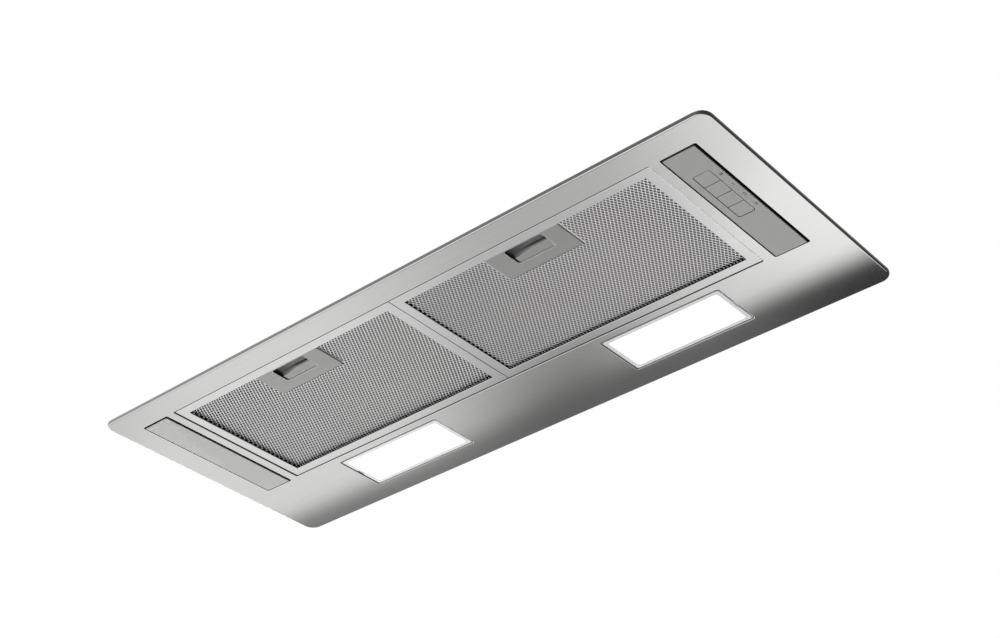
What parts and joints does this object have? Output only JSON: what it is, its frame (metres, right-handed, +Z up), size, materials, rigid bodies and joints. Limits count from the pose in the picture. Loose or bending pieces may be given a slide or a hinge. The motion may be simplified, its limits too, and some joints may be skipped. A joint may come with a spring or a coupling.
{
  "type": "range hood insert",
  "caption": "Built-in range hood insert with face panel, swing-down grease filters, lamps, push buttons, centrifugal blower and round duct collar with damper flaps.",
  "frame": {"origin": "middle of the face panel in plan, level with the lowest surface, the face of the two plastic strips", "axes": "+X to the right end, which has the push buttons, seen from the user's side; +Y to the wall, where the lamps are; +Z up into the cabinet"},
  "size_m": [0.72, 0.289, 0.2168],
  "materials": {
    "stainless": "brushed along the length, satin",
    "galvanised": "galvanised sheet, fine spangle",
    "strip_plastic": "fine moulded texture",
    "button_plastic": "fine moulded texture",
    "filter_frame": "satin anodised",
    "filter_mesh": "expanded mesh",
    "filter_core": "layered expanded foil",
    "handle_plastic": "fine moulded texture",
    "lamp_diffuser": "opal, lit from behind",
    "white_plastic": "moulded",
    "board_green": "solder mask",
    "led_board": "white solder mask",
    "zinc_steel": "bright zinc plate",
    "blower_plastic": "moulded, dark grey",
    "impeller_plastic": "moulded",
    "motor_steel": "zinc plated motor can",
    "winding": "laminations and enamelled copper windings",
    "bearing_bronze": "sintered",
    "rubber_black": "moulded",
    "black_plastic": "moulded",
    "wire_black": "sleeved wires",
    "capacitor_case": "moulded",
    "box_grey": "moulded"
  },
  "bodies": {
    "root": {"face_panel": "stainless", "control_strip": "strip_plastic", "blank_strip": "strip_plastic", "switch_housing": "white_plastic", "switch_board": "board_green", "switch_screws": "zinc_steel", "lamp_housing_left": "galvanised", "led_board_left": "led_board", "lamp_housing_right": "galvanised", "led_board_right": "led_board", "led_driver": "white_plastic", "tray_shell": "galvanised", "tray_end_left": "galvanised", "tray_end_right": "galvanised", "panel_studs": "zinc_steel", "stud_nuts": "zinc_steel", "side_clips": "zinc_steel", "motor_box": "galvanised", "motor_box_end_left": "galvanised", "motor_box_end_right": "galvanised", "body_screws": "zinc_steel", "scroll_left": "blower_plastic", "scroll_right": "blower_plastic", "motor_stator": "winding", "motor_can": "motor_steel", "motor_bearings": "bearing_bronze", "motor_bracket": "galvanised", "motor_bushes": "rubber_black", "capacitor": "capacitor_case", "capacitor_clip": "zinc_steel", "duct_collar": "galvanised", "damper_pin": "zinc_steel", "terminal_box": "box_grey", "terminal_block": "white_plastic", "terminal_cover": "box_grey", "cable_gland": "black_plastic", "wire_loom": "wire_black"},
    "filter_left": {"filter_frame_left": "filter_frame", "filter_mesh_left": "filter_mesh", "filter_core_left": "filter_core", "filter_handle_left": "handle_plastic", "latch_spring_left": "zinc_steel"},
    "latch_left": {"filter_latch_left": "handle_plastic"},
    "lamp_cover_left": {"lamp_cover_left": "lamp_diffuser"},
    "filter_right": {"filter_frame_right": "filter_frame", "filter_mesh_right": "filter_mesh", "filter_core_right": "filter_core", "filter_handle_right": "handle_plastic", "latch_spring_right": "zinc_steel"},
    "latch_right": {"filter_latch_right": "handle_plastic"},
    "lamp_cover_right": {"lamp_cover_right": "lamp_diffuser"},
    "button_light": {"button_light": "button_plastic"},
    "button_speed_1": {"button_speed_1": "button_plastic"},
    "button_speed_2": {"button_speed_2": "button_plastic"},
    "button_speed_3": {"button_speed_3": "button_plastic"},
    "impeller": {"impeller": "impeller_plastic", "motor_shaft": "zinc_steel", "motor_rotor": "winding"},
    "damper_front": {"damper_flap_front": "galvanised"},
    "damper_rear": {"damper_flap_rear": "galvanised"}
  },
  "joints": [
    {"name": "filter_left_tilt", "type": "hinge", "parent": "root", "child": "filter_left", "pos_m": [-0.1429, 0.0492, 0.0023], "axis": [1, 0, 0], "range_deg": [0, 80]},
    {"name": "latch_left_slide", "type": "slide", "parent": "filter_left", "child": "latch_left", "axis": [0, 1, 0], "range_m": [0, 0.005], "stiffness_N_per_m": 400, "springref_m": -0.002, "deforming": ["latch_spring_left"]},
    {"name": "lamp_cover_left_tilt", "type": "hinge", "parent": "root", "child": "lamp_cover_left", "pos_m": [-0.103, 0.08815, 0.0011], "axis": [0, -1, 0], "range_deg": [0, 60]},
    {"name": "filter_right_tilt", "type": "hinge", "parent": "root", "child": "filter_right", "pos_m": [0.1429, 0.0492, 0.0023], "axis": [1, 0, 0], "range_deg": [0, 80]},
    {"name": "latch_right_slide", "type": "slide", "parent": "filter_right", "child": "latch_right", "axis": [0, 1, 0], "range_m": [0, 0.005], "stiffness_N_per_m": 400, "springref_m": -0.002, "deforming": ["latch_spring_right"]},
    {"name": "lamp_cover_right_tilt", "type": "hinge", "parent": "root", "child": "lamp_cover_right", "pos_m": [0.103, 0.08815, 0.0011], "axis": [0, 1, 0], "range_deg": [0, 60]},
    {"name": "button_light_press", "type": "slide", "parent": "root", "child": "button_light", "axis": [0, 0, 1], "range_m": [0, 0.002], "stiffness_N_per_m": 500, "springref_m": -0.001},
    {"name": "button_speed_1_press", "type": "slide", "parent": "root", "child": "button_speed_1", "axis": [0, 0, 1], "range_m": [0, 0.002], "stiffness_N_per_m": 500, "springref_m": -0.001},
    {"name": "button_speed_2_press", "type": "slide", "parent": "root", "child": "button_speed_2", "axis": [0, 0, 1], "range_m": [0, 0.002], "stiffness_N_per_m": 500, "springref_m": -0.001},
    {"name": "button_speed_3_press", "type": "slide", "parent": "root", "child": "button_speed_3", "axis": [0, 0, 1], "range_m": [0, 0.002], "stiffness_N_per_m": 500, "springref_m": -0.001},
    {"name": "impeller_spin", "type": "hinge", "parent": "root", "child": "impeller", "pos_m": [0, -0.022, 0.0998], "axis": [1, 0, 0], "continuous": true},
    {"name": "damper_front_swing", "type": "hinge", "parent": "root", "child": "damper_front", "pos_m": [0, 0.028, 0.1888], "axis": [-1, 0, 0], "range_deg": [0, 75]},
    {"name": "damper_rear_swing", "type": "hinge", "parent": "root", "child": "damper_rear", "pos_m": [0, 0.028, 0.1888], "axis": [1, 0, 0], "range_deg": [0, 75]}
  ]
}
